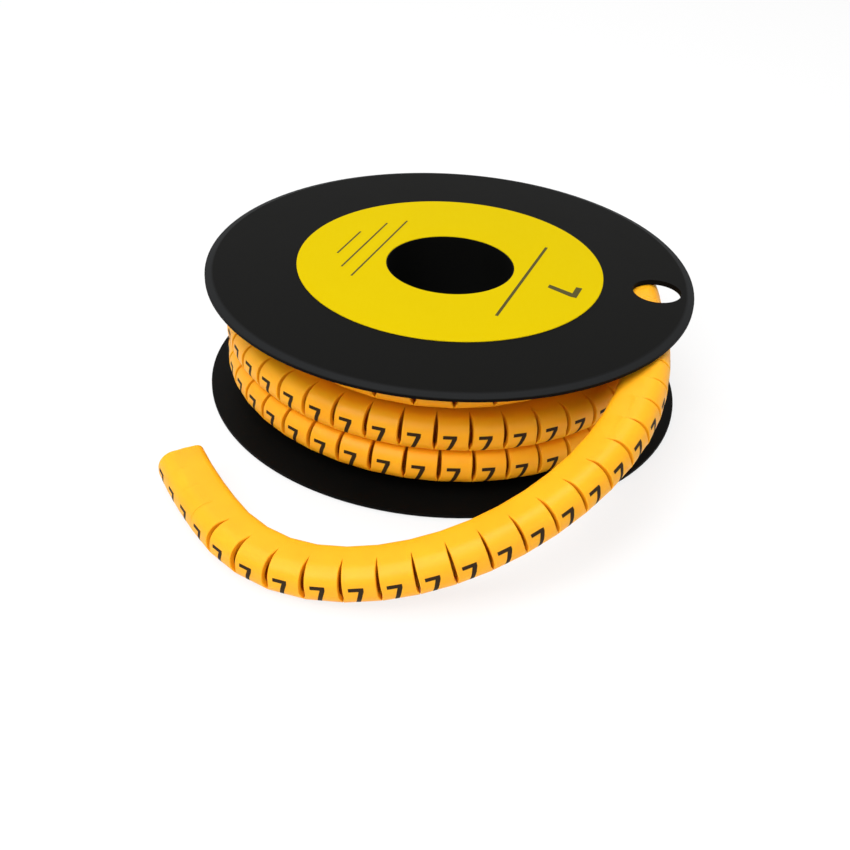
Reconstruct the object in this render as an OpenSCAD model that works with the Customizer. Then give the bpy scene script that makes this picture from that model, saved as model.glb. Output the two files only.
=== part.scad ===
// Reel of cable markers: a two-part reel, its ring label, and a strip of ring markers wound on it
// with a loose stretch that comes down to the table and runs round the front.
// Millimetres. The reel stands on its lower flange: Z is the spindle axis, Z = 0 the lower face.

/* [Strip] */
// Length of one marker along the strip
marker_l = 5.8; // [4:0.1:9]
// Height of the strip, which lies along the reel's axis when wound
strip_h = 7.2; // [7:0.1:12]
// Depth of the strip from its spine to its printed face
strip_d = 9; // [8:0.1:13]
// Thickness of the uncut spine that joins the markers
spine_t = 2.8; // [2.4:0.1:3.2]
// Radius of the cable bore
bore_r = 2.5; // [2:0.1:2.6]
// How far the bore stands off the hinge line
bore_lift = 0.2; // [0.1:0.05:0.4]
// Radius of the two corners at the printed face
face_corner_r = 3.2; // [1:0.1:3.4]
// Radius of the two corners at the spine
spine_corner_r = 1.5; // [0.4:0.1:1.8]
// Width of the cut between two markers where the strip is straight
cut_w = 0.12; // [0.1:0.02:0.4]

/* [Winding] */
// Rows of strip side by side on the reel
row_count = 3; // [2:1:5]
// Markers in one turn of the outer layer
turn_markers = 43; // [36:1:60]
// Slack between rows, and between the top row and the upper flange
row_slack = 0.1; // [0.05:0.05:0.5]
// Slack between the bottom row and the lower flange
side_slack = 1.4; // [0.1:0.1:3]
// How far the slanting lower rows rise at the left and fall at the right
row_lift = 1.1; // [0:0.1:2]
// How far the winding is pulled over to the left
pull_aside = 1.2; // [0:0.1:1.5]
// Slack between two layers
layer_slack = 0.1; // [0.05:0.05:0.5]
// Slack between the winding and the hub
hub_slack = 0.2; // [0.1:0.05:0.5]
// Angle at which the loose stretch leaves the top row
leave_angle = -1; // [-20:0.5:20]
// Angle at which the last turn of the top row begins
top_row_start = 198; // [120:1:300]

/* [Reel] */
// Diameter of the flanges
flange_d = 102; // [96:1:140]
// Thickness of a flange
flange_t = 1.1; // [1:0.05:3]
// Width of the bevel along the rim of a flange
rim_w = 1.6; // [0.4:0.1:3]
// Drop of that bevel
rim_drop = 0.5; // [0.2:0.1:0.9]
// Radius of the spindle bore
spindle_r = 13.3; // [8:0.1:14]
// Wall of the hub tube on the upper half
tube_wall = 1.2; // [0.8:0.1:1.5]
// Wall of the hub sleeve on the lower half
sleeve_wall = 1.4; // [0.8:0.1:2]
// Radial fit between hub tube and hub sleeve
hub_fit = 0.1; // [0.05:0.05:0.3]
// Gap that the hub sleeve keeps to the upper flange
end_gap = 0.2; // [0.1:0.1:1]
// Radius of the hole in the upper flange where the strip's end is tucked in
tuck_hole_r = 5; // [3:0.5:6]
// Distance of that hole's middle from the rim
tuck_hole_in = 7.7; // [7:0.1:12]
// Angle of that hole
tuck_hole_angle = -8; // [-180:1:180]

/* [Label] */
// Outer radius of the label
label_r = 32.2; // [20:0.1:40]
// Thickness of the label
label_t = 0.2; // [0.1:0.05:0.5]
// How far the label's hole stands back from the spindle bore
label_margin = 0.2; // [0.1:0.1:2]

/* [Hidden] */
$fn = 96;

// Turn at each cut of the loose stretch, from the winding to its end, in degrees
loose_turns = [0, 0, 0, 3, 3, 4, 5.5, 6.5, 7.5, 7, 7, 6.5, 6.5, 6.5, 6.5, 6.5, 6.5, 7, 8, 10, 11.5, 12, 10,
    3.5, 2.5, 3];
// The loose stretch comes down to the table between these markers
down_from = 3.5;
down_to = 20.5;
// It leans its printed face up between these markers, most in the middle
lean_most = 16;
lean_rise = [4.5, 8.5];
lean_fall = [9, 17];
// Crease in the spine at each hinge of the loose stretch, and how far the hinge stands back in it
crease_w = 0.12;
hinge_inset = 0.12;
// Overlap that joins a layer to the one below it
layer_lap = 0.4;
// Shift of the cuts from one row to the next, in degrees
row_shift = 1.4;

loose_count = len(loose_turns);
rows_w = side_slack + row_count * (strip_h + row_slack) + 2 * row_lift;
reel_w = rows_w + 2 * flange_t;
flange_r = flange_d / 2;
tube_r = spindle_r + tube_wall;
sleeve_in_r = tube_r + hub_fit;
hub_r = sleeve_in_r + sleeve_wall;
face_at = strip_d - spine_t;
hinge_r = marker_l / 2 / sin(180 / turn_markers);
wound_r = hinge_r + face_at;
inner_layer_r = wound_r - strip_d - layer_slack;
inner_turn_markers = floor(180 / asin(marker_l / 2 / (inner_layer_r - face_at)));
row_slant = asin(row_lift / wound_r);
bore_at = bore_r + bore_lift;
tuck_hole_at = flange_r - tuck_hole_in;
table_h = strip_h / 2;
top_row_span = top_row_start - leave_angle;

function round_angle(a) = a - 360 * floor(a / 360);
function row_middle(row) = flange_t + side_slack + row_lift + strip_h / 2 + row * (strip_h + row_slack);
top_row_h = row_middle(row_count - 1) + row_lift;

// A step from 0 to 1 that starts and ends level
function eased(t) = t <= 0 ? 0 : t >= 1 ? 1 : t * t * (3 - 2 * t);
function eased_between(t, span) = eased((t - span[0]) / (span[1] - span[0]));

// Angle of the cut before marker i in a turn
function cut_angle(i, count, shift) = i * 360 / count + shift;

// Height of the hinge before marker i of the loose stretch, and how far that marker leans
function loose_height(i) = top_row_h - (top_row_h - table_h) * eased_between(i, [down_from, down_to]);
function loose_lean(i) = lean_most * eased_between(i, lean_rise) * (1 - eased_between(i, lean_fall));
function loose_slope(i) = asin((loose_height(i + 1) - loose_height(i)) / marker_l);

// Headings and hinge points, each from the one before
function headings(i = 0, heading = leave_angle - 90) =
    i == loose_count ? [] : let (h = heading - loose_turns[i]) concat([h], headings(i + 1, h));
loose_headings = headings();
function along(i) = let (s = loose_slope(i), h = loose_headings[i])
    marker_l * [cos(s) * cos(h), cos(s) * sin(h), sin(s)];
leave_point = [hinge_r * cos(leave_angle) - pull_aside, hinge_r * sin(leave_angle), top_row_h];
function hinges(i = 0, p = leave_point) =
    i == loose_count ? [p] : concat([p], hinges(i + 1, p + along(i)));
loose_hinges = hinges();

// Section of the strip: X is its depth from the hinge line, Y its height
module strip_outline() {
    translate([-spine_t, -strip_h / 2 + spine_corner_r])
        square([strip_d - face_corner_r, strip_h - 2 * spine_corner_r]);
    translate([-spine_t + spine_corner_r, -strip_h / 2])
        square([strip_d - spine_corner_r - face_corner_r, strip_h]);
    translate([0, -strip_h / 2 + face_corner_r])
        square([face_at, strip_h - 2 * face_corner_r]);
    for (side = [-1, 1]) {
        translate([-spine_t + spine_corner_r, side * (strip_h / 2 - spine_corner_r)])
            circle(spine_corner_r);
        translate([face_at - face_corner_r, side * (strip_h / 2 - face_corner_r)])
            circle(face_corner_r);
    }
}

module strip_section() {
    difference() {
        strip_outline();
        translate([bore_at, 0])
            circle(bore_r);
    }
}

// One marker along +X with its hinge at the origin, its ends cut back to the turns of its neighbours and
// its spine by a crease on each side where it is joined
module marker(turn_before, turn_after, back_before, back_after) {
    deep = spine_t + 1;
    high = strip_h + 2;
    intersection() {
        translate([-1, 0, 0])
            rotate([90, 0, 90])
                linear_extrude(marker_l + 2)
                    strip_section();
        translate([0, 0, -high / 2])
            linear_extrude(high)
                polygon([
                    [back_before, 0],
                    [cut_w / 2, 0],
                    [cut_w / 2, face_at + 1],
                    [marker_l - cut_w / 2, face_at + 1],
                    [marker_l - cut_w / 2, 0],
                    [marker_l - back_after, 0],
                    [marker_l - back_after - deep * tan(turn_after / 2), -deep],
                    [back_before + deep * tan(turn_before / 2), -deep]
                ]);
    }
}

module at_loose_hinge(i) {
    translate(loose_hinges[i])
        rotate([0, 0, loose_headings[i]])
            rotate([loose_lean(i), -loose_slope(i), 0])
                children();
}

module loose_marker(i, back_before, back_after) {
    turn_after = i + 1 < loose_count ? loose_turns[i + 1] : 0;
    at_loose_hinge(i)
        marker(loose_turns[i], turn_after, back_before, back_after);
}

// The bead of spine that joins a marker to the one before it and bends as the hinge
module loose_hinge(i) {
    bead = (spine_t - spine_corner_r) / 2;
    at_loose_hinge(i)
        translate([0, -bead, 0])
            cylinder(h = strip_h - 2 * hinge_inset, r = bead - hinge_inset / 2, center = true);
}

module reel_flange() {
    rotate_extrude()
        polygon([
            [sleeve_in_r, 0],
            [flange_r - rim_w, 0],
            [flange_r, rim_drop],
            [flange_r, flange_t],
            [sleeve_in_r, flange_t]
        ]);
}

module reel_upper_half() {
    color("#202020")
        difference() {
            union() {
                translate([0, 0, reel_w])
                    mirror([0, 0, 1])
                        reel_flange();
                cylinder(h = reel_w, r = tube_r);
                translate([0, 0, reel_w - flange_t])
                    cylinder(h = flange_t, r = sleeve_in_r + 1);
            }
            translate([0, 0, -1])
                cylinder(h = reel_w + 2, r = spindle_r);
            rotate([0, 0, tuck_hole_angle])
                translate([tuck_hole_at, 0, reel_w - flange_t - 1])
                    cylinder(h = flange_t + 2, r = tuck_hole_r);
        }
}

module reel_lower_half() {
    color("#202020") {
        difference() {
            union() {
                reel_flange();
                cylinder(h = reel_w - flange_t - end_gap, r = hub_r);
            }
            translate([0, 0, -1])
                cylinder(h = reel_w + 2, r = sleeve_in_r);
        }
    }
}

module reel_label() {
    color("#ebd400")
        translate([0, 0, reel_w])
            difference() {
                cylinder(h = label_t, r = label_r);
                translate([0, 0, -1])
                    cylinder(h = label_t + 2, r = spindle_r + label_margin);
            }
}

// A wedge that opens a cut from the hinge line out past the printed face
module cut_wedge(at_r, open_w) {
    reach = face_at + 1;
    linear_extrude(strip_h + row_slack, center = true)
        polygon([
            [at_r, 0],
            [at_r + reach, open_w / 2 * reach / face_at],
            [at_r + reach, -open_w / 2 * reach / face_at]
        ]);
}

// Part of a turn of strip whose printed face is at out_r, from angle a0 over the angle span
module turn_of_strip(out_r, a0, span) {
    rotate([0, 0, a0])
        rotate_extrude(angle = span)
            translate([out_r - face_at, 0]) {
                strip_outline();
                translate([-spine_t - layer_slack - layer_lap, -strip_h / 4])
                    square([spine_t + layer_slack + layer_lap, strip_h / 2]);
            }
}

// The cuts of that part of a turn
module turn_cuts(out_r, count, shift, a0, span) {
    open_w = 2 * out_r * tan(180 / count) - marker_l;
    for (i = [0 : count - 1]) {
        a = cut_angle(i, count, shift);
        if (round_angle(a - a0) > 0.5 && round_angle(a - a0) < span - 0.5)
            rotate([0, 0, a])
                cut_wedge(out_r - face_at, open_w);
    }
}

// Places a row: the lower rows slant, and the top row is level
module in_row(row) {
    top = row == row_count - 1;
    translate([-pull_aside, 0, top ? top_row_h : row_middle(row)])
        rotate([0, top ? 0 : row_slant, 0])
            children();
}

// All turns on the reel: packed inner layers, whose top row shows at the front where the loose stretch
// came off, and the outer layer, which lacks that part of its top row
module wound_strip() {
    top = row_count - 1;
    color("#fdbe2d")
        difference() {
            union() {
                translate([-pull_aside, 0, row_middle(0) - row_lift])
                    cylinder(h = top_row_h - row_middle(0) + row_lift, r = inner_layer_r - strip_d / 2);
                for (row = [0 : top])
                    in_row(row)
                        turn_of_strip(inner_layer_r, 0, 360);
                for (row = [0 : top - 1])
                    in_row(row)
                        turn_of_strip(wound_r, 0, 360);
                in_row(top)
                    turn_of_strip(wound_r, leave_angle, top_row_span);
            }
            cylinder(h = reel_w, r = hub_r + hub_slack);
            for (row = [0 : top - 1])
                in_row(row)
                    turn_cuts(wound_r, turn_markers, row_shift * (top - row), 0, 360);
            in_row(top) {
                turn_cuts(wound_r, turn_markers, leave_angle, leave_angle, top_row_span);
                turn_cuts(inner_layer_r, inner_turn_markers, 0, top_row_start, 360 - top_row_span);
            }
        }
}

// The loose stretch up to its last marker
module loose_strip() {
    color("#fdbe2d") {
        for (i = [0 : loose_count - 2])
            loose_marker(i, i > 0 ? crease_w / 2 : 0, i < loose_count - 2 ? crease_w / 2 : 0);
        for (i = [1 : loose_count - 2])
            loose_hinge(i);
    }
}

module end_marker() {
    color("#fdbe2d")
        loose_marker(loose_count - 1, 0, 0);
}

reel_upper_half();
reel_lower_half();
reel_label();
wound_strip();
loose_strip();
end_marker();
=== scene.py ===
import math

import bmesh
import bpy
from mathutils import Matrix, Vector


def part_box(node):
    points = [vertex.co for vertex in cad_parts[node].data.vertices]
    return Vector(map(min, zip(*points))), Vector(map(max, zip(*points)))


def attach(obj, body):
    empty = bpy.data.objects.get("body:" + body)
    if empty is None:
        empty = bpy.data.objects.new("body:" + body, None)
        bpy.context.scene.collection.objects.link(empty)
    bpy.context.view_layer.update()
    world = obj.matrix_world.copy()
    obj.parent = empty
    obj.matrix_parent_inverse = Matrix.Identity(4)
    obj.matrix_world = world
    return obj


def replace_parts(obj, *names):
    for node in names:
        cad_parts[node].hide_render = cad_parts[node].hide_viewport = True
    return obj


bl_info = {
    "name": "Reel of cable markers",
    "version": (1, 0, 0),
    "blender": (4, 5, 0),
    "location": "3D View > Sidebar > Marker reel",
    "description": "Dresses a reel of ring cable markers and stands it on a pale studio floor",
    "category": "Object",
}

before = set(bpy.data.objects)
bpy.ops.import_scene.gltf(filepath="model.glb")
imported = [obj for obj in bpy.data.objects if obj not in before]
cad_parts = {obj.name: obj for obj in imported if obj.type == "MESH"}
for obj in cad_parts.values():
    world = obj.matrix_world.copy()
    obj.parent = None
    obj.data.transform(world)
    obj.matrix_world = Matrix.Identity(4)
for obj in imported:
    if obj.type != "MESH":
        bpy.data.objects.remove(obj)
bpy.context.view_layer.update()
REEL_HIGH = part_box("reel_upper_half")[1]
LABEL_LOW, LABEL_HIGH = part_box("reel_label")

# Turn at each cut of the loose stretch, from the winding to its end, in degrees
LOOSE_TURNS = (
    0, 0, 0, 3, 3, 4, 5.5, 6.5, 7.5, 7, 7, 6.5, 6.5, 6.5, 6.5, 6.5, 6.5, 7, 8, 10, 11.5, 12, 10, 3.5, 2.5, 3,
)
# Markers between which the loose stretch comes down to the table, leans its print up, and stands up again
COMES_DOWN = (3.5, 20.5)
LEANS_UP = (4.5, 8.5)
STANDS_UP = (9, 17)
# How far the last cuts before its end are pressed closed, by the hinge they are at
PRESSED_SHUT = {23: 0.85, 24: 0.96, 25: 0.96}
# Between these parts of its half height below the middle a cut closes, with what that fills of its opening and width
CLOSES_LOW = (0.15, 0.75)
LOW_FILL = 0.97
LOW_NARROWING = 0.7
# Distances above the root of a cut over which it opens, comes to its own width and gets its bevelled edges
OPENS_OVER = 0.0036
WIDENS_OVER = 0.0012
BEVELS_OVER = 0.0009
# Depths of the points on a marker's flat sides, heights of the points at the foot of a cut, and steps of its corners
SIDE_POINTS = (0.0017, 0.0023)
SEAM_POINTS = (-0.8, -0.6, -0.2, 0.2, 0.6, 0.8)
SPINE_STEPS = 5
FACE_STEPS = 12
# Distance from a hinge at which the spine takes its marker's own direction
SPINE_EASE = 0.0006
# A turn's first cut stands at least this angle from where the strip leaves
SHORTEST_MARKER = 0.04
# Foot of a seven in its widths, and the width of its leg at the knee and at the foot in strokes
SEVEN_FOOT = -0.2
SEVEN_LEG = (1.25, 1.08)
SEVEN_STEPS = 10
# Width, height, stroke and place of the number on the label, and length, weight and place of its rules
LABEL_NUMBER = (0.0046, 0.0066, 0.0013)
LABEL_NUMBER_PLACE = (0.0235, -0.0085)
LABEL_RULES = (
    (0.034, 1.6, (0.0152, -0.0052)),
    (0.03, 1.0, (-0.0152, 0.0058)),
    (0.024, 1.0, (-0.0186, 0.0068)),
    (0.012, 1.0, (-0.0221, 0.0072)),
)
# How fast the painted highlight on the rim's bevel comes in outwards and upwards, per metre
RIM_HIGHLIGHT_FADE = (1600.0, 5000.0)
# Name, place and power of the lamps, their side and the point that they are turned to
LAMPS = (
    ("key", (-0.3, -0.4, 0.6), 4.5),
    ("top", (-0.1, 0.1, 0.85), 4.0),
    ("fill", (0.35, -0.6, 0.35), 1.0),
)
LAMP_SIDE = 0.5
LAMP_AIM = (0, -0.02, 0.01)
# Strength of the world's light, and the part of the floor's own shading that white replaces
WORLD_LEVEL = 0.38
FLOOR_WHITE = 0.8


def length(name, description, default):
    """A size in metres, as the settings below hold it."""
    return bpy.props.FloatProperty(
        name=name, description=description, default=default, unit="LENGTH", precision=5, min=0
    )


def angle(name, description, degrees):
    """An angle that is written in degrees."""
    return bpy.props.FloatProperty(
        name=name, description=description, default=math.radians(degrees), subtype="ANGLE"
    )


def colour(name, description, default):
    """A linear colour."""
    return bpy.props.FloatVectorProperty(
        name=name, description=description, default=default, subtype="COLOR", size=3, min=0, max=1
    )


class StripSettings(bpy.types.PropertyGroup):
    """Sizes and colours of the marker strip"""

    marker: length("Marker", "Length of one marker along the strip", 0.0058)
    height: length("Height", "Height of the strip, along the spindle when wound", 0.0072)
    depth: length("Depth", "Depth of the strip from its spine to its printed face", 0.009)
    spine: length("Spine", "Thickness of the uncut spine", 0.0028)
    bore: length("Bore", "Radius of the cable bore", 0.0025)
    bore_lift: length("Bore lift", "How far the bore stands off the hinge line", 0.0002)
    face_corner: length("Face corner", "Radius of the corners at the printed face", 0.0032)
    spine_corner: length("Spine corner", "Radius of the corners at the spine", 0.0015)
    cut: length("Cut", "Width of a cut where the strip is straight", 0.00012)
    edge: length("Edge", "Bevel along the edges of a cut", 0.00012)
    swell: bpy.props.FloatProperty(
        name="Swell", description="Part of a cut's opening that the soft markers fill", default=0.12, min=0, max=1
    )
    root: length("Root", "How far a cut stays closed above the hinge line", 0.0012)
    row_pitch: length("Row pitch", "Distance from one row to the next", 0.0073)
    low_row: length("Low row", "Height of the middle of the lowest row", 0.0072)
    row_lift: length("Row lift", "How far the slanting lower rows rise at the left", 0.0011)
    aside: length("Pull aside", "How far the winding is pulled over to the left", 0.0012)
    layer_slack: length("Layer slack", "Slack between two layers", 0.0001)
    turn_markers: bpy.props.IntProperty(
        name="Markers a turn", description="Markers in one turn of the outer layer", default=43
    )
    inner_markers: bpy.props.IntProperty(
        name="Markers an inner turn", description="Markers in one turn of the layer below", default=33
    )
    bared_markers: bpy.props.IntProperty(
        name="Markers a bared turn", description="Markers in the turn that shows where the strip came off", default=38
    )
    bulge: length("Bulge", "How far that bared turn bulges out at the front", 0.0076)
    bulge_span: angle("Bulge span", "Angle over which that turn bulges out", 149)
    hub: length("Hub", "Radius of the hub that the strip is wound on", 0.0162)
    row_shift: angle("Row shift", "Shift of the cuts from one row to the next", 1.4)
    leave: angle("Leaves at", "Angle at which the loose stretch leaves the top row", -1)
    top_start: angle("Top row starts at", "Angle at which the last turn of the top row begins", 198)
    lean: angle("Lean", "How far the loose stretch leans its print up at most", 16)
    number_height: length("Number height", "Height of a printed number", 0.0038)
    number_width: length("Number width", "Width of a printed number", 0.0026)
    number_stroke: length("Number stroke", "Width of a stroke of a number", 0.0007)
    number_aside: length("Number aside", "How far a number stands left of the marker's middle", 0.0006)
    number_below: length("Number below", "How far a number stands below the marker's middle", 0.0008)
    ink: length("Ink", "How far the print stands on the face", 0.00002)
    yellow: colour("Yellow", "Colour of the strip", (0.92, 0.41, 0.009))
    deep_yellow: colour("Deep yellow", "Colour of its darker streaks", (0.86, 0.35, 0.005))
    print_colour: colour("Print", "Colour of the printed numbers", (0.014, 0.007, 0.002))


class ReelSettings(bpy.types.PropertyGroup):
    """Colours of the reel and sizes and colours of its label"""

    black: colour("Black", "Colour of the reel", (0.0022, 0.0022, 0.002))
    # Painted highlight along the upper flange's rim: its grey, and the width and drop of the band it covers
    painted_rim_highlight: colour("Rim highlight", "Colour of the painted highlight on the rim", (0.0125, 0.013, 0.0135))
    rim: length("Rim", "Width of the painted highlight on the rim", 0.0018)
    rim_drop: length("Rim drop", "Drop of the painted highlight on the rim", 0.0006)
    label_yellow: colour("Label yellow", "Colour of the label", (0.585, 0.435, 0.0))
    label_print: colour("Label print", "Colour of the print on the label", (0.05, 0.045, 0.006))
    label_print_stand: length("Print", "How far the print stands on the label", 0.00002)
    rule_width: length("Rule width", "Width of the printed rules", 0.0004)
    label_hole: length("Label hole", "Radius of the hole in the label", 0.0135)
    label_edge: length("Label edge", "Bevel along the edges of the label", 0.00008)
    reading: angle("Reading", "Direction in which the label reads", -109)


class StageSettings(bpy.types.PropertyGroup):
    """Floor, light and camera"""

    floor_colour: colour("Floor", "Colour of the floor", (0.9, 0.9, 0.9))
    floor_size: length("Floor size", "Half the side of the floor", 6.0)
    camera_place: bpy.props.FloatVectorProperty(
        name="Camera", description="Place of the camera", default=(0.0, -0.21747, 0.13592),
        subtype="TRANSLATION", size=3, precision=5,
    )
    camera_turn: bpy.props.FloatVectorProperty(
        name="Camera turn", description="Turn of the camera", default=(0.967341, -0.048203, 0.048486),
        subtype="EULER", size=3, precision=5,
    )
    lens: bpy.props.FloatProperty(
        name="Lens", description="Focal length on a 36 mm sensor, in millimetres", default=48.318
    )


class Value:
    """A socket that takes part in Python expressions, each of which adds a Math node."""

    def __init__(self, finish, socket):
        self.finish = finish
        self.socket = socket

    def _math(self, operation, first, second):
        return self.finish.node("ShaderNodeMath", {"operation": operation}, {0: first, 1: second})

    def __add__(self, other):
        return self._math("ADD", self, other)

    __radd__ = __add__

    def __sub__(self, other):
        return self._math("SUBTRACT", self, other)

    def __rsub__(self, other):
        return self._math("SUBTRACT", other, self)

    def __mul__(self, other):
        return self._math("MULTIPLY", self, other)

    __rmul__ = __mul__

    def at_most(self, other):
        return self._math("MINIMUM", self, other)

    def at_least(self, other):
        return self._math("MAXIMUM", self, other)


class Finish:
    """A material or a world, and the nodes that make it."""

    def __init__(self, block, output="ShaderNodeOutputMaterial"):
        self.block = block
        block.use_nodes = True
        self.tree = block.node_tree
        self.tree.nodes.clear()
        self.out = self.tree.nodes.new(output)

    def node(self, kind, settings, sockets, output=0):
        """Adds a node: its settings first, a ramp's stops among them, then values or links of its sockets."""
        node = self.tree.nodes.new(kind)
        for key, value in settings.items():
            if key == "stops":
                self._stops(node.color_ramp, value)
            else:
                setattr(node, key, value)
        for key, value in sockets.items():
            if isinstance(value, Value):
                self.tree.links.new(value.socket, node.inputs[key])
            else:
                node.inputs[key].default_value = value
        return Value(self, node.outputs[output])

    def _stops(self, ramp, stops):
        while len(ramp.elements) < len(stops):
            ramp.elements.new(0.5)
        for element, (place, shade) in zip(ramp.elements, stops):
            element.position = place
            element.color = (*shade, 1) if len(shade) == 3 else shade

    def place(self):
        return self.node("ShaderNodeTexCoord", {}, {}, "Object")

    def noise(self, scale, detail=2.0, roughness=0.5, stretch=None):
        where = self.place()
        if stretch:
            where = self.node("ShaderNodeVectorMath", {"operation": "MULTIPLY"}, {0: where, 1: stretch})
        return self.node(
            "ShaderNodeTexNoise", {}, {"Vector": where, "Scale": scale, "Detail": detail, "Roughness": roughness}
        )

    def mix(self, factor, first, second):
        """A colour between two colours."""
        pair = [c if isinstance(c, Value) else (*c, 1) for c in (first, second)]
        return self.node(
            "ShaderNodeMix", {"data_type": "RGBA"}, {0: factor, 6: pair[0], 7: pair[1]}, 2
        )

    def seen(self):
        """1 for a ray that shows the background: straight, in a reflection or through glass."""
        rays = [
            self.node("ShaderNodeLightPath", {}, {}, kind)
            for kind in ("Is Camera Ray", "Is Glossy Ray", "Is Transmission Ray")
        ]
        return (rays[0] + rays[1] + rays[2]).at_most(1.0)

    def bump(self, height, strength, distance):
        return self.node(
            "ShaderNodeBump", {}, {"Strength": strength, "Distance": distance, "Height": height}, "Normal"
        )

    def surface(self, shader):
        self.tree.links.new(shader.socket, self.out.inputs["Surface"])
        return self.block


def strip_plastic(s):
    """Soft yellow plastic with faint streaks and a fine satin grain."""
    f = Finish(bpy.data.materials.new("marker_plastic_yellow"))
    cloud = f.noise(90.0, 3.0)
    grain = f.noise(2600.0, 3.0, 0.6)
    tint = f.mix((cloud * 1.6 - 0.3).at_most(1.0), tuple(s.deep_yellow), tuple(s.yellow))
    shader = f.node(
        "ShaderNodeBsdfPrincipled", {},
        {
            "Base Color": tint,
            "Roughness": 0.36 + cloud * 0.12 + grain * 0.06,
            "Subsurface Weight": 0.25,
            "Subsurface Radius": (0.0024, 0.0009, 0.0002),
            "Subsurface Scale": 1.0,
            "Specular IOR Level": 0.24,
            "Normal": f.bump(grain + cloud * 0.6, 0.18, 0.00006),
        },
    )
    return f.surface(shader)


def print_ink(name, shade):
    """Dark printing ink, a little worn, so that the ground shows through faintly."""
    f = Finish(bpy.data.materials.new(name))
    wear = f.noise(1800.0, 3.0, 0.65)
    worn = tuple(c + 0.02 * k for c, k in zip(shade, (1.0, 0.5, 0.05)))
    shader = f.node(
        "ShaderNodeBsdfPrincipled", {},
        {
            "Base Color": f.mix(wear, shade, worn),
            "Roughness": 0.55 + wear * 0.2,
            "Specular IOR Level": 0.15,
        },
    )
    return f.surface(shader)


def reel_plastic(name, s, rim_highlight_colour):
    """Black moulded plastic with a fine matt grain, faint handling marks, and a painted highlight in grey on the
    rim's bevel.
    """
    f = Finish(bpy.data.materials.new(name))
    grain = f.noise(3200.0, 3.0, 0.6)
    haze = f.noise(45.0, 4.0, 0.6)
    black = tuple(s.black)
    rubbed = tuple(c * 1.5 + 0.0008 for c in black)
    flat = f.node("ShaderNodeVectorMath", {"operation": "MULTIPLY"}, {0: f.place(), 1: (1.0, 1.0, 0.0)})
    radius = f.node("ShaderNodeVectorMath", {"operation": "LENGTH"}, {0: flat}, "Value")
    height = f.node("ShaderNodeVectorMath", {"operation": "DOT_PRODUCT"}, {0: f.place(), 1: (0.0, 0.0, 1.0)}, "Value")
    # Painted highlight: the outer, upper edge of the rim's bevel turns a lighter grey, where the bevel would catch
    # the light
    out = ((radius - (REEL_HIGH[0] - s.rim)) * RIM_HIGHLIGHT_FADE[0]).at_most(1.0).at_least(0.0)
    above = ((height - (REEL_HIGH[2] - s.rim_drop)) * RIM_HIGHLIGHT_FADE[1]).at_most(1.0).at_least(0.0)
    shader = f.node(
        "ShaderNodeBsdfPrincipled", {},
        {
            "Base Color": f.mix(out * above, f.mix(haze, black, rubbed), rim_highlight_colour),
            "Roughness": 0.46 + haze * 0.14 + grain * 0.06,
            "Specular IOR Level": 0.03,
            "Normal": f.bump(grain, 0.12, 0.00005),
        },
    )
    return f.surface(shader)


def label_paper(s):
    """Yellow coated paper with faint fibres."""
    f = Finish(bpy.data.materials.new("label_paper_yellow"))
    fibre = f.noise(900.0, 5.0, 0.65, (1.0, 0.35, 1.0))
    cloud = f.noise(70.0, 2.0)
    yellow = tuple(s.label_yellow)
    dull = tuple(c * k for c, k in zip(yellow, (0.95, 0.93, 0.8)))
    shader = f.node(
        "ShaderNodeBsdfPrincipled", {},
        {
            "Base Color": f.mix(fibre * 0.6 + cloud * 0.4, yellow, dull),
            "Roughness": 0.5 + fibre * 0.14,
            "Specular IOR Level": 0.02,
            "Normal": f.bump(fibre, 0.1, 0.00004),
        },
    )
    return f.surface(shader)


def eased(t):
    """A step from 0 to 1 that starts and ends level."""
    t = min(1.0, max(0.0, t))
    return t * t * (3 - 2 * t)


def eased_between(t, span):
    return eased((t - span[0]) / (span[1] - span[0]))


def arc(y, z, radius, start, end, steps):
    """Points on an arc, both ends included, from start to end in degrees."""
    turns = [math.radians(start + (end - start) * i / steps) for i in range(steps + 1)]
    return [(y + radius * math.cos(a), z + radius * math.sin(a)) for a in turns]


class Length:
    """One marker's own axes: along the strip, out to the printed face, and up."""

    def __init__(self, start, end, lean):
        run = end - start
        self.start = start
        self.long = run.length
        self.along = run.normalized()
        level = Vector((-run.y, run.x, 0.0)).normalized()
        up = self.along.cross(level)
        self.out = level * math.cos(lean) + up * math.sin(lean)
        self.up = up * math.cos(lean) - level * math.sin(lean)

    def at(self, x, y, z):
        return self.start + self.along * x + self.out * y + self.up * z

    def meets(self, other):
        """Slopes, out and up, of the plane that halves the turn between this marker and its neighbour."""
        normal = self.along + other.along
        base = self.along.dot(normal)
        return -self.out.dot(normal) / base, -self.up.dot(normal) / base


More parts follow.
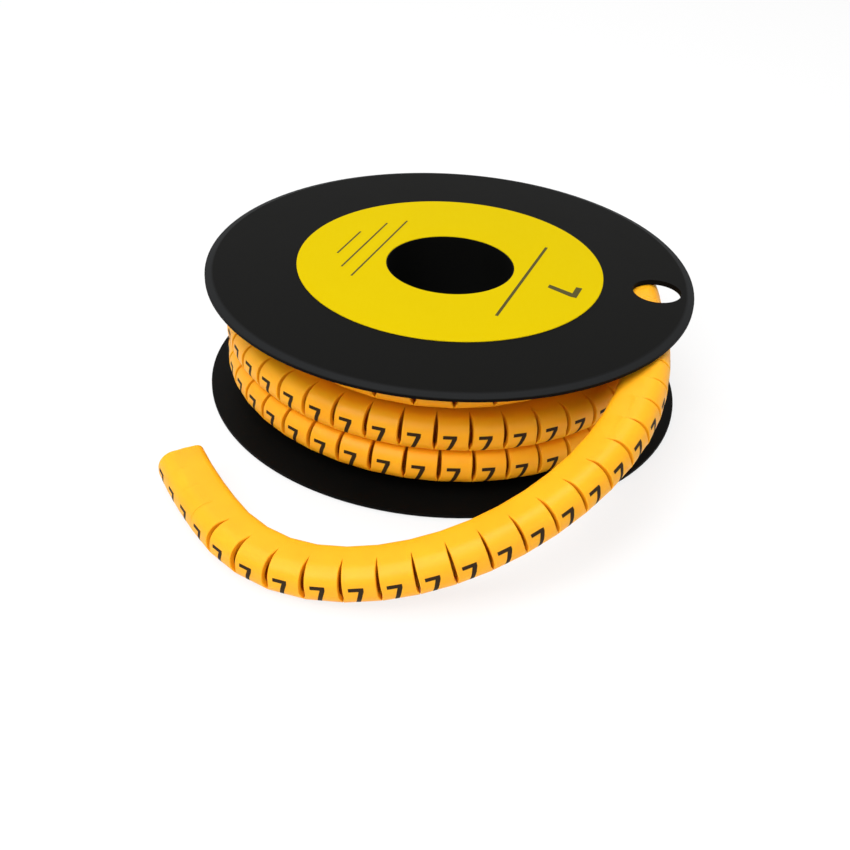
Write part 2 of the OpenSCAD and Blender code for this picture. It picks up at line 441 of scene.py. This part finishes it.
class StripMaker:
    """Makes hollow markers along a line of hinges, joined at the spine and open at each cut."""

    def __init__(self, s):
        self.s = s
        half = s.height / 2
        self.half = half
        self.face = s.depth - s.spine - s.ink
        back = -s.spine
        k, c = s.spine_corner, s.face_corner
        self.back = (
            [(s.root, -half), (0.0, -half)]
            + arc(back + k, -half + k, k, -90, -180, SPINE_STEPS)
            + arc(back + k, half - k, k, 180, 90, SPINE_STEPS)
            + [(0.0, half), (s.root, half)]
        )
        front = [(y, half) for y in SIDE_POINTS]
        front += arc(self.face - c, half - c, c, 90, 0, FACE_STEPS)
        front += arc(self.face - c, -half + c, c, 0, -90, FACE_STEPS)
        front += [(y, -half) for y in reversed(SIDE_POINTS)]
        self.front = front
        self.seam = [(s.root * eased(abs(z)), half * z) for z in SEAM_POINTS]
        self.middle = s.bore + s.bore_lift

    def face_at(self, z):
        """Depth of the printed face at a height."""
        over = abs(z) - (self.half - self.s.face_corner)
        if over <= 0:
            return self.face
        c = self.s.face_corner
        return self.face - c + math.sqrt(max(0.0, c * c - over * over))

    def stand_back(self, y, z, plane, way, shut):
        """How far a marker's end stands back from its hinge: a cut opens from its root and closes low down."""
        above = y - self.s.root
        low = LOW_FILL * eased_between(-z / self.half, CLOSES_LOW)
        filled = max(1 - eased(above / OPENS_OVER), low, shut, self.s.swell)
        gap = self.s.cut / 2 * min(1.0, max(0.0, above) / WIDENS_OVER)
        meet = way * (y * plane[0] + z * plane[1])
        return gap * (1 - max(shut, LOW_NARROWING * low)) + (meet * filled if meet < 0 else meet)

    def bevel(self, y, shut):
        return self.s.edge * min(1.0, max(0.0, y - self.s.root) / BEVELS_OVER) * (1 - shut)

    def pinch(self, y, z, shut):
        """A point of the outline moved in by the bevel, which starts at the root of the cut."""
        part = self.bevel(y, shut)
        wide = self.s.depth / 2
        return self.middle + (y - self.middle) * (1 - part / wide), z * (1 - part / self.half)

    def lengths(self, hinges, leans, closed):
        ends = hinges[1:] + hinges[:1] if closed else hinges[1:]
        return [Length(a, b, lean) for a, b, lean in zip(hinges, ends, leans)]

    def make(self, bm, lengths, closed, shut=None):
        """Adds the markers; shut says for each hinge how far its cut is pressed closed."""
        count = len(lengths) + (not closed)
        shut = shut or [0.0] * count
        ends = [(*self._section(bm, lengths, i, closed), shut[i]) for i in range(count)]
        for i, piece in enumerate(lengths):
            self._marker(bm, piece, ends[i], ends[(i + 1) % count])
        if not closed:
            rim = len(self.back)
            for section, _, _ in (ends[0], ends[-1]):
                bm.faces.new(section[:rim] + section[:rim - 1:-1])

    def _section(self, bm, lengths, i, closed):
        """The spine's outline and the foot of the cut at a hinge, shared by its markers, and where these meet."""
        n = len(lengths)
        before = lengths[(i - 1) % n] if closed or i > 0 else None
        after = lengths[i % n] if closed or i < n else None
        planes = [a.meets(b) if a and b else (0.0, 0.0) for a, b in ((before, after), (after, before))]
        points = []
        for y, z in self.back + self.seam:
            here = []
            for piece, x0, (out, up) in ((before, before and before.long, planes[0]), (after, 0.0, planes[1])):
                if piece:
                    here.append(piece.at(x0 + y * out + z * up, y, z))
            points.append(bm.verts.new(sum(here, Vector()) / len(here)))
        return points, planes

    def _marker(self, bm, piece, first, last):
        s = self.s
        rim = len(self.back)
        ends = (
            (first[0], first[1][1], first[2], 0.0, 1),
            (last[0], last[1][0], last[2], piece.long, -1),
        )
        rings = [first[0][:rim], [], [], last[0][:rim]]
        for y, z in self.back:
            rings[1].append(bm.verts.new(piece.at(SPINE_EASE, y, z)))
            rings[2].append(bm.verts.new(piece.at(piece.long - SPINE_EASE, y, z)))
        for y, z in self.front:
            for (_, plane, shut, x0, way), edge, flank in zip(ends, (0, 3), (1, 2)):
                x = self.stand_back(y, z, plane, way, shut)
                rings[edge].append(bm.verts.new(piece.at(x0 + way * x, *self.pinch(y, z, shut))))
                rings[flank].append(bm.verts.new(piece.at(x0 + way * (x + self.bevel(y, shut)), y, z)))
        count = len(rings[0])
        for near, far in zip(rings, rings[1:]):
            for i in range(count):
                j = (i + 1) % count
                bm.faces.new((near[i], near[j], far[j], far[i]))
        bores = []
        for (section, plane, shut, x0, way), ring in zip(ends, (rings[0], rings[3])):
            loop = ring[rim - 1:] + [ring[0]] + section[rim:]
            spots = [self.back[-1]] + [self.pinch(*p, shut) for p in self.front] + [self.back[0]] + self.seam
            bore = []
            for y, z in spots:
                a = math.atan2(z, y - self.middle)
                by, bz = self.middle + s.bore * math.cos(a), s.bore * math.sin(a)
                x = self.stand_back(by, bz, plane, way, shut)
                bore.append(bm.verts.new(piece.at(x0 + way * x, by, bz)))
            for i in range(len(loop)):
                j = (i + 1) % len(loop)
                bm.faces.new((loop[i], loop[j], bore[j], bore[i]))
            bores.append(bore)
        near, far = bores
        for i in range(len(near)):
            j = (i + 1) % len(near)
            bm.faces.new((near[i], near[j], far[j], far[i]))

    def number(self, bm, piece):
        """A seven on the printed face, as thin as its ink."""
        s = self.s
        faces, rim = seven(s.number_width, s.number_height, s.number_stroke)

        def put(right, high, stand):
            z = high - s.number_below
            return piece.at(piece.long / 2 + s.number_aside - right, self.face_at(z) + stand, z)

        slab(bm, faces, rim, lambda p: put(*p, s.ink), lambda p: put(*p, -s.ink))


def seven(wide, high, stroke):
    """The faces of a plain seven and the order of its rim, as points right and up from its middle."""
    top, low, side = high / 2, -high / 2, wide / 2
    foot = SEVEN_FOOT * wide
    knee = side - SEVEN_LEG[0] * stroke
    heel = foot + SEVEN_LEG[1] * stroke
    bar = top - stroke
    steps = [i / SEVEN_STEPS for i in range(SEVEN_STEPS + 1)]
    left = [(knee + (foot - knee) * t, bar + (low - bar) * t) for t in steps]
    right = [(side + (heel - side) * t, bar + (low - bar) * t) for t in steps]
    rows = [[(x, y) for x in (-side, knee, side)] for y in (top, top - stroke / 2, bar)]
    faces = [(a[i], a[i + 1], b[i + 1], b[i]) for a, b in zip(rows, rows[1:]) for i in (0, 1)]
    faces += [(left[i], right[i], right[i + 1], left[i + 1]) for i in range(SEVEN_STEPS)]
    rim = rows[0] + [rows[1][2]] + right + left[::-1] + [rows[2][0], rows[1][0]]
    return faces, rim


def slab(bm, faces, rim, upper, lower):
    """A thin closed plate from its flat faces, with functions that place its upper and lower points."""
    points = dict.fromkeys(p for face in faces for p in face)
    tops = {p: bm.verts.new(upper(p)) for p in points}
    feet = {p: bm.verts.new(lower(p)) for p in points}
    for face in faces:
        bm.faces.new([tops[p] for p in face])
        bm.faces.new([feet[p] for p in reversed(face)])
    for a, b in zip(rim, rim[1:] + rim[:1]):
        bm.faces.new((tops[a], tops[b], feet[b], feet[a]))


def lathe(bm, profile, steps, aside=0.0):
    """A closed ring turned from a closed profile of radius and height, about an axis aside to the left."""
    rings = []
    for i in range(steps):
        a = 2 * math.pi * i / steps
        rings.append([bm.verts.new((r * math.cos(a) - aside, r * math.sin(a), z)) for r, z in profile])
    for near, far in zip(rings, rings[1:] + rings[:1]):
        for i in range(len(profile)):
            j = (i + 1) % len(profile)
            bm.faces.new((near[i], near[j], far[j], far[i]))


def finish_piece(name, bm, material, smooth=32):
    """Turns a mesh into a piece that rides on the reel."""
    bmesh.ops.recalc_face_normals(bm, faces=bm.faces)
    mesh = bpy.data.meshes.new(name)
    bm.to_mesh(mesh)
    bm.free()
    mesh.shade_smooth()
    mesh.set_sharp_from_angle(angle=math.radians(smooth))
    mesh.materials.append(material)
    piece = bpy.data.objects.new(name, mesh)
    bpy.context.scene.collection.objects.link(piece)
    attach(piece, "root")
    return piece


def known(name, make, *args):
    """A material by name, made at its first use."""
    return bpy.data.materials.get(name) or make(*args)


def hinge_radius(s):
    return s.marker / 2 / math.sin(math.pi / s.turn_markers)


def top_row(s):
    """Height of the level top row."""
    return s.low_row + 2 * s.row_pitch + s.row_lift


def bulged(s, a):
    """How far the bared turn stands out at an angle, between the ends of the outer top row."""
    t = ((a - s.top_start) % (2 * math.pi)) / s.bulge_span
    return s.bulge * math.sin(math.pi * t) if t < 1 else 0.0


def turn_hinges(s, radius, count, shift, height, slant, span=None, bared=False):
    """Hinges and leans of a turn, clockwise from above; a part of a turn runs back to where it leaves."""
    cuts = [i * 2 * math.pi / count + shift for i in range(count)]
    if span:
        inside = sorted((a - s.leave) % (2 * math.pi) for a in cuts)
        cuts = [s.leave] + [s.leave + a for a in inside if SHORTEST_MARKER < a < span]
    hinges, leans = [], []
    for a in reversed(cuts):
        far = radius + bulged(s, a) if bared else radius
        out = far * math.cos(a)
        place = (out * math.cos(slant) - s.aside, far * math.sin(a), height - out * math.sin(slant))
        hinges.append(Vector(place))
        leans.append(-slant * math.cos(a - math.pi / count))
    return hinges, leans


def loose_route(s):
    """Hinges and leans of the loose stretch, from the winding to its open end."""
    top = top_row(s)
    table = s.height / 2 + s.ink
    heights = [top - (top - table) * eased_between(i, COMES_DOWN) for i in range(len(LOOSE_TURNS) + 1)]
    leans = [
        s.lean * eased_between(i, LEANS_UP) * (1 - eased_between(i, STANDS_UP)) for i in range(len(LOOSE_TURNS))
    ]
    heading = s.leave - math.pi / 2
    radius = hinge_radius(s)
    hinges = [Vector((radius * math.cos(s.leave) - s.aside, radius * math.sin(s.leave), top))]
    for i, turn in enumerate(LOOSE_TURNS):
        heading -= math.radians(turn)
        slope = math.asin((heights[i + 1] - heights[i]) / s.marker)
        step = Vector((math.cos(slope) * math.cos(heading), math.cos(slope) * math.sin(heading), math.sin(slope)))
        hinges.append(hinges[-1] + step * s.marker)
    return hinges, leans


class MARKERREEL_OT_loose_strip(bpy.types.Operator):
    """Make the loose stretch of strip with its numbers"""

    bl_idname = "markerreel.loose_strip"
    bl_label = "Loose strip"

    def execute(self, context):
        s = context.scene.marker_strip
        maker = StripMaker(s)
        hinges, leans = loose_route(s)
        lengths = maker.lengths(hinges, leans, False)
        bm, marks = bmesh.new(), bmesh.new()
        maker.make(bm, lengths, False, [PRESSED_SHUT.get(i, 0.0) for i in range(len(hinges))])
        for piece in lengths:
            maker.number(marks, piece)
        strip = finish_piece("loose_markers", bm, known("marker_plastic_yellow", strip_plastic, s))
        ink = known("marker_print", print_ink, "marker_print", tuple(s.print_colour))
        numbers = finish_piece("loose_numbers", marks, ink)
        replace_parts(strip, "loose_strip", "end_marker")
        middle = maker.middle
        path = []
        for piece in lengths:
            path += [piece.at(piece.long * t, middle, 0.0) for t in (0.02, 0.5, 0.98)]
        long = sum((b - a).length for a, b in zip(path, path[1:]))
        return {"FINISHED"}


class MARKERREEL_OT_wound_strip(bpy.types.Operator):
    """Make the turns of strip on the reel with their numbers"""

    bl_idname = "markerreel.wound_strip"
    bl_label = "Wound strip"

    def execute(self, context):
        s = context.scene.marker_strip
        maker = StripMaker(s)
        plastic = known("marker_plastic_yellow", strip_plastic, s)
        radius = hinge_radius(s)
        inner_face = radius - s.spine - s.layer_slack
        inner_radius = inner_face - (s.depth - s.spine)
        slant = math.asin(s.row_lift / (radius + s.depth - s.spine))
        low, middle, top = s.low_row, s.low_row + s.row_pitch, top_row(s)
        rows = (
            ("outer_row_low", radius, s.turn_markers, 3 * s.row_shift, low, slant, None),
            ("outer_row_middle", radius, s.turn_markers, 2 * s.row_shift, middle, slant, None),
            ("outer_row_top", radius, s.turn_markers, s.leave, top, 0.0, s.top_start - s.leave),
            ("inner_row_low", inner_radius, s.inner_markers, 0.0, low, slant, None),
            ("inner_row_middle", inner_radius, s.inner_markers, 0.0, middle, slant, None),
            ("inner_row_top", inner_radius, s.bared_markers, 0.0, top, 0.0, None),
        )
        marks = bmesh.new()
        for name, r, count, shift, height, slope, span in rows:
            hinges, leans = turn_hinges(s, r, count, shift, height, slope, span, name == "inner_row_top")
            closed = span is None
            lengths = maker.lengths(hinges, leans, closed)
            bm = bmesh.new()
            maker.make(bm, lengths, closed)
            for piece in lengths if r == radius else ():
                maker.number(marks, piece)
            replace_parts(finish_piece(name, bm, plastic), "wound_strip")
        ink = known("marker_print", print_ink, "marker_print", tuple(s.print_colour))
        finish_piece("wound_numbers", marks, ink)
        hub = s.hub + s.aside
        core = inner_face - s.depth / 2
        bm = bmesh.new()
        foot = low - s.row_lift
        lathe(bm, [(hub, foot), (core, foot), (core, top), (hub, top)], 128, s.aside)
        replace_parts(finish_piece("inner_layers", bm, plastic), "wound_strip")
        return {"FINISHED"}


class MARKERREEL_OT_reel(bpy.types.Operator):
    """Give the two halves of the reel their moulded black plastic"""

    bl_idname = "markerreel.reel"
    bl_label = "Reel"

    def execute(self, context):
        s = context.scene.marker_reel
        # The upper half's rim gets the painted highlight; the lower half's rim stays black
        for node, name, rim_highlight_colour in (
            ("reel_upper_half", "reel_plastic_painted_rim", s.painted_rim_highlight),
            ("reel_lower_half", "reel_plastic_black", s.black),
        ):
            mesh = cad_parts[node].data
            mesh.materials.clear()
            mesh.materials.append(reel_plastic(name, s, tuple(rim_highlight_colour)))
        return {"FINISHED"}


class MARKERREEL_OT_label(bpy.types.Operator):
    """Make the ring label on the upper flange with its plain print"""

    bl_idname = "markerreel.label"
    bl_label = "Label"

    def execute(self, context):
        s = context.scene.marker_reel
        outer = LABEL_HIGH[0]
        inner = s.label_hole
        low, high = LABEL_LOW[2], LABEL_HIGH[2] - s.label_print_stand
        ease = s.label_edge
        bm = bmesh.new()
        lathe(
            bm,
            [(inner, low), (outer, low), (outer, high - ease), (outer - ease, high), (inner + ease, high),
             (inner, high - ease)],
            192,
        )
        label = finish_piece("label_ring", bm, label_paper(s))
        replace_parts(label, "reel_label")
        right = Vector((math.cos(s.reading), math.sin(s.reading), 0))
        up = Vector((-right.y, right.x, 0))
        marks = bmesh.new()

        def mark(faces, rim, middle):
            centre = Vector((*middle, 0))

            def put(p, z):
                return centre + right * p[0] + up * p[1] + Vector((0, 0, z))

            slab(
                marks, faces, rim, lambda p: put(p, high + s.label_print_stand),
                lambda p: put(p, high - s.label_print_stand),
            )

        mark(*seven(*LABEL_NUMBER), LABEL_NUMBER_PLACE)
        for long, weight, middle in LABEL_RULES:
            x, y = long / 2, s.rule_width * weight / 2
            rim = [(-x, y), (x, y), (x, -y), (-x, -y)]
            mark([tuple(rim)], rim, middle)
        finish_piece("label_print", marks, print_ink("label_ink", tuple(s.label_print)))
        return {"FINISHED"}


class MARKERREEL_OT_stage(bpy.types.Operator):
    """Make the floor, the soft studio light and the camera"""

    bl_idname = "markerreel.stage"
    bl_label = "Stage"

    def execute(self, context):
        s = context.scene.marker_stage
        scene = context.scene
        self.floor(scene, s)
        self.light(scene)
        camera = bpy.data.cameras.new("camera")
        camera.sensor_fit = "HORIZONTAL"
        camera.sensor_width = 36
        camera.lens = s.lens
        camera.clip_start = 0.01
        camera.clip_end = 50
        holder = bpy.data.objects.new("camera", camera)
        holder.location = s.camera_place
        holder.rotation_euler = s.camera_turn
        scene.collection.objects.link(holder)
        scene.camera = holder
        scene.view_settings.view_transform = "Standard"
        return {"FINISHED"}

    def floor(self, scene, s):
        f = Finish(bpy.data.materials.new("floor_white"))
        tooth = f.noise(600.0, 3.0)
        shade = tuple(s.floor_colour)
        dull = tuple(c * 0.985 for c in shade)
        matt = f.node(
            "ShaderNodeBsdfPrincipled", {},
            {"Base Color": f.mix(tooth, shade, dull), "Roughness": 0.85, "Specular IOR Level": 0.1},
        )
        white = f.node("ShaderNodeEmission", {}, {"Color": (1, 1, 1, 1), "Strength": 1.0})
        f.surface(f.node("ShaderNodeMixShader", {}, {0: f.seen() * FLOOR_WHITE, 1: matt, 2: white}))
        size = s.floor_size
        bm = bmesh.new()
        bm.faces.new([bm.verts.new((x * size, y * size, 0)) for x, y in ((-1, -1), (1, -1), (1, 1), (-1, 1))])
        mesh = bpy.data.meshes.new("floor")
        bm.to_mesh(mesh)
        bm.free()
        mesh.materials.append(f.block)
        floor = bpy.data.objects.new("floor", mesh)
        scene.collection.objects.link(floor)

    def light(self, scene):
        f = Finish(bpy.data.worlds.new("studio"), "ShaderNodeOutputWorld")
        strength = WORLD_LEVEL + f.seen() * (1 - WORLD_LEVEL)
        scene.world = f.surface(
            f.node("ShaderNodeBackground", {}, {"Color": (1, 1, 1, 1), "Strength": strength})
        )
        for name, place, power in LAMPS:
            lamp = bpy.data.lights.new(name, "AREA")
            lamp.size = LAMP_SIDE
            lamp.energy = power
            holder = bpy.data.objects.new(name, lamp)
            holder.location = place
            holder.rotation_euler = (Vector(LAMP_AIM) - Vector(place)).to_track_quat("-Z", "Y").to_euler()
            scene.collection.objects.link(holder)


class MARKERREEL_PT_panel(bpy.types.Panel):
    """Lists the steps and the settings"""

    bl_idname = "MARKERREEL_PT_panel"
    bl_label = "Marker reel"
    bl_space_type = "VIEW_3D"
    bl_region_type = "UI"
    bl_category = "Marker reel"

    def draw(self, context):
        layout = self.layout
        for step in STEPS:
            layout.operator(step.bl_idname)
        for group, settings in SETTINGS:
            box = layout.box()
            box.label(text=settings.__doc__)
            for name in settings.__annotations__:
                box.prop(getattr(context.scene, group), name)


STEPS = (
    MARKERREEL_OT_stage,
    MARKERREEL_OT_loose_strip,
    MARKERREEL_OT_wound_strip,
    MARKERREEL_OT_reel,
    MARKERREEL_OT_label,
)
SETTINGS = (
    ("marker_strip", StripSettings),
    ("marker_reel", ReelSettings),
    ("marker_stage", StageSettings),
)


def register():
    for group, settings in SETTINGS:
        bpy.utils.register_class(settings)
        setattr(bpy.types.Scene, group, bpy.props.PointerProperty(type=settings))
    for step in STEPS:
        bpy.utils.register_class(step)
    bpy.utils.register_class(MARKERREEL_PT_panel)


def unregister():
    bpy.utils.unregister_class(MARKERREEL_PT_panel)
    for step in reversed(STEPS):
        bpy.utils.unregister_class(step)
    for group, settings in reversed(SETTINGS):
        delattr(bpy.types.Scene, group)
        bpy.utils.unregister_class(settings)


def main():
    register()
    bpy.ops.markerreel.stage()
    bpy.ops.markerreel.loose_strip()
    bpy.ops.markerreel.wound_strip()
    bpy.ops.markerreel.reel()
    bpy.ops.markerreel.label()


if __name__ == "__main__":
    main()
